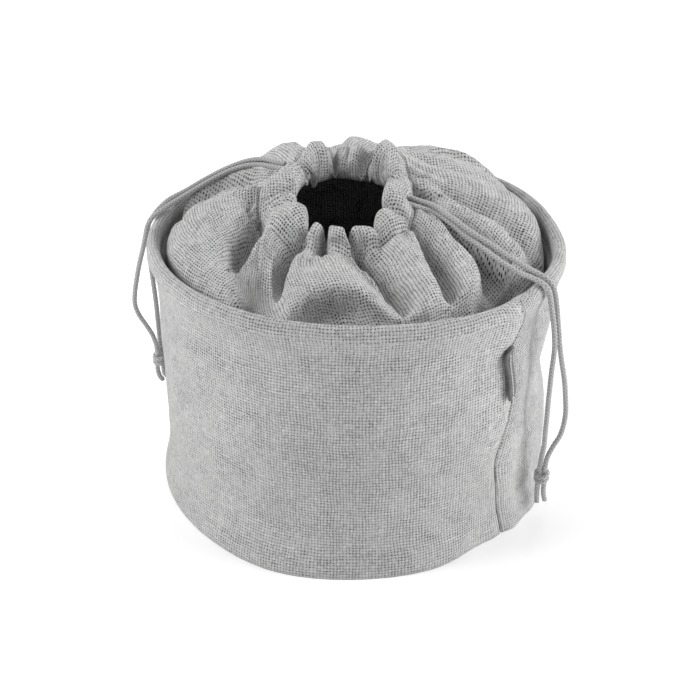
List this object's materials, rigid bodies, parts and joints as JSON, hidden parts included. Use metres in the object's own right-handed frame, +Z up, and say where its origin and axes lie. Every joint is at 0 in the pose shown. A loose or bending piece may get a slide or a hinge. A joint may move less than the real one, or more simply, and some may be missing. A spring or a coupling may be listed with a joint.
{
  "type": "drawstring produce bag",
  "caption": "Round jute storage bag with a rolled rim and a puffed hood gathered by a drawcord round its open mouth.",
  "frame": {"origin": "centre of the underside, on the surface the bag stands on", "axes": "+Z up through the mouth, -Y towards the front, +X towards the side with the seam and its ribbon label"},
  "size_m": [0.2639, 0.252, 0.2003],
  "materials": {
    "wall_cloth": "coarse plain-woven jute, matt",
    "hood_cloth": "open plain-woven jute, soft and matt",
    "cord": "braided cotton, matt",
    "ribbon": "woven ribbon, slightly satin"
  },
  "bodies": {
    "root": {"outer_wall": "wall_cloth", "hood": "hood_cloth", "base_panel": "wall_cloth", "label": "ribbon", "cord_right_a": "cord", "cord_right_b": "cord", "cord_left_a": "cord", "cord_left_b": "cord", "knot_right": "cord", "knot_left": "cord"}
  },
  "joints": []
}
